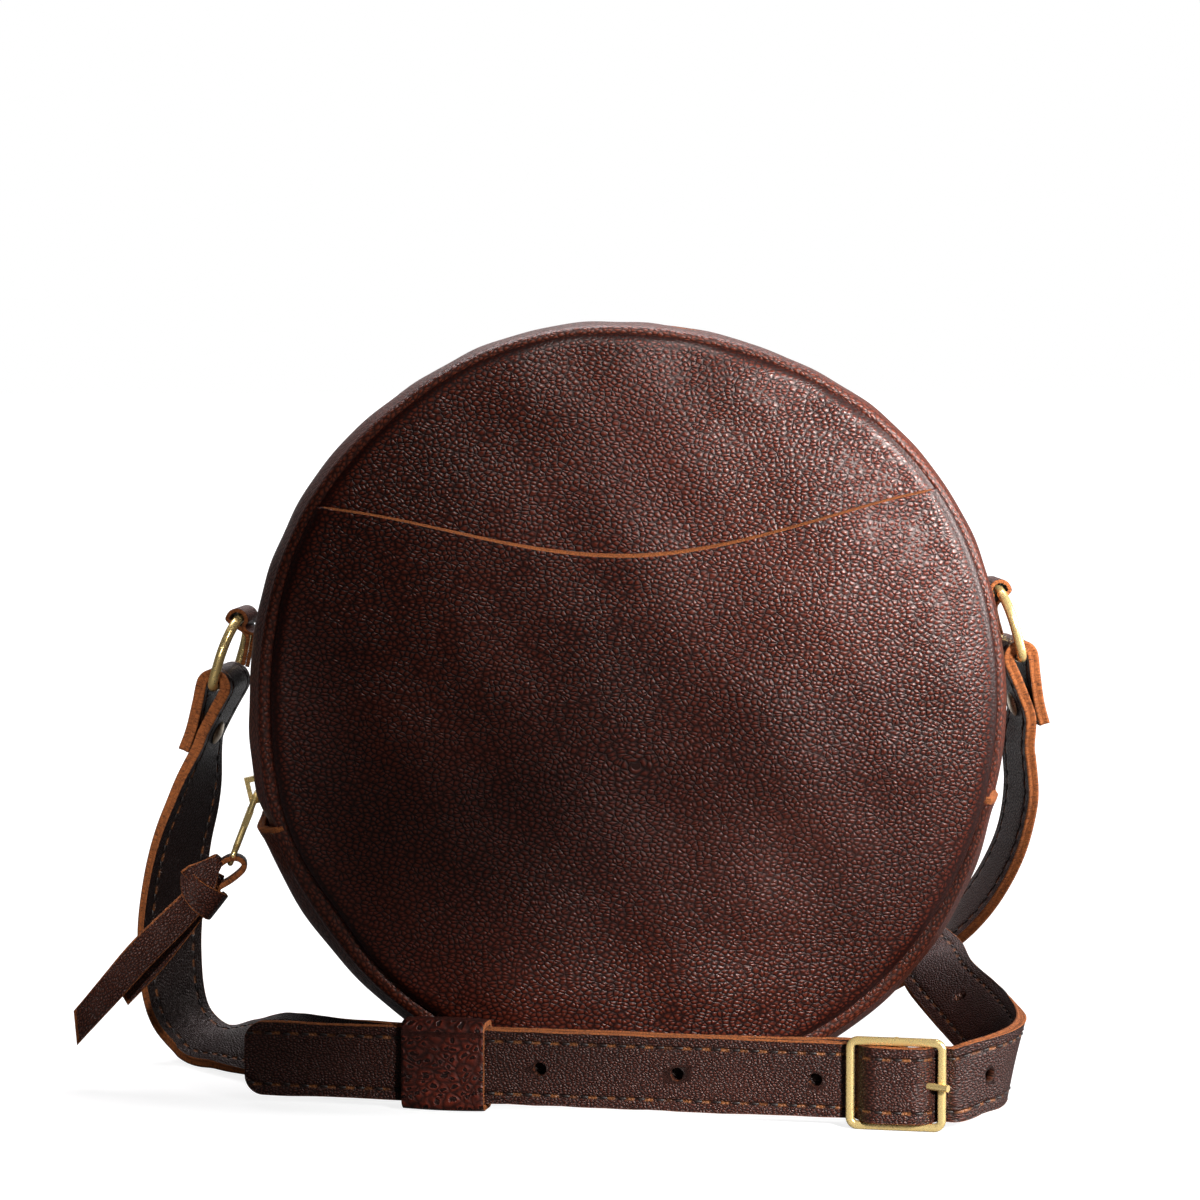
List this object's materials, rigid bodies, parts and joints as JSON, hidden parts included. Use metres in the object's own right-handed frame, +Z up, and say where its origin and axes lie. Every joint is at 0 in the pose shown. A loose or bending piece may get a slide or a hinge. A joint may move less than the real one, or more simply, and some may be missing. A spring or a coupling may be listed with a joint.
{
  "type": "circle crossbody bag",
  "caption": "Round leather crossbody bag standing on its edge, with a zip round the top, a front slip pocket and a buckled strap on rings.",
  "frame": {"origin": "on the floor under the middle of the bag, in the middle of the flattened bottom of the lower gusset", "axes": "+X to the right seen from the front, +Y from the front panel towards the back panel, +Z up"},
  "size_m": [0.2599, 0.2005, 0.1991],
  "materials": {
    "panel_leather": "pebbled, soft sheen",
    "strap_leather": "pebbled, soft sheen",
    "zip_tape": "woven, matt",
    "zip_chain": "coil, satin",
    "brass": "aged, satin",
    "rivet": "antique, satin"
  },
  "bodies": {
    "bag": {"front_panel": "panel_leather", "front_pocket": "panel_leather", "back_panel": "panel_leather", "zip_gusset_front": "panel_leather", "zip_gusset_rear": "panel_leather", "lower_gusset": "panel_leather", "zip_tape_front": "zip_tape", "zip_tape_rear": "zip_tape", "zip_chain_front": "zip_chain", "zip_chain_rear": "zip_chain", "zip_stops": "brass", "ring_tab_left": "strap_leather", "ring_tab_right": "strap_leather", "buckle_strap_face": "strap_leather", "buckle_strap_lining": "strap_leather", "billet_face": "strap_leather", "billet_lining": "strap_leather", "buckle_frame": "brass"},
    "slider": {"slider_body": "brass"},
    "pull": {"pull_tab": "brass"},
    "lace": {"pull_lace": "strap_leather"},
    "ring_left": {"d_ring_left": "brass", "strap_rivet_left": "rivet"},
    "ring_right": {"d_ring_right": "brass", "strap_rivet_right": "rivet"},
    "prong": {"buckle_prong": "brass"},
    "keeper": {"keeper_loop": "strap_leather"}
  },
  "joints": [
    {"name": "slider_travel", "type": "hinge", "parent": "bag", "child": "slider", "pos_m": [0, 0, 0.1001], "axis": [0, 1, 0], "range_deg": [0, 200]},
    {"name": "pull_swing", "type": "hinge", "parent": "slider", "child": "pull", "pos_m": [-0.09761, 0, 0.07633], "axis": [0, 1, 0], "range_deg": [-8, 75]},
    {"name": "lace_swing", "type": "hinge", "parent": "pull", "child": "lace", "pos_m": [-0.10465, 0, 0.05799], "axis": [0, 1, 0], "range_deg": [-12, 20]},
    {"name": "ring_left_swing", "type": "hinge", "parent": "bag", "child": "ring_left", "pos_m": [-0.10152, 0.01904, 0.12072], "axis": [0.2588, 0.9659, 0], "range_deg": [0, 40], "deforming": ["buckle_strap_face", "buckle_strap_lining"]},
    {"name": "ring_right_swing", "type": "hinge", "parent": "bag", "child": "ring_right", "pos_m": [0.0992, 0.01902, 0.12757], "axis": [0.1392, -0.9903, 0], "range_deg": [0, 40], "deforming": ["billet_face", "billet_lining"]},
    {"name": "prong_lift", "type": "hinge", "parent": "bag", "child": "prong", "pos_m": [0.06409, -0.07248, 0.0119], "axis": [0, 0, -1], "range_deg": [0, 10]},
    {"name": "keeper_slide", "type": "slide", "parent": "bag", "child": "keeper", "axis": [0.9681, -0.2504, 0], "range_m": [0, 0.075]}
  ]
}
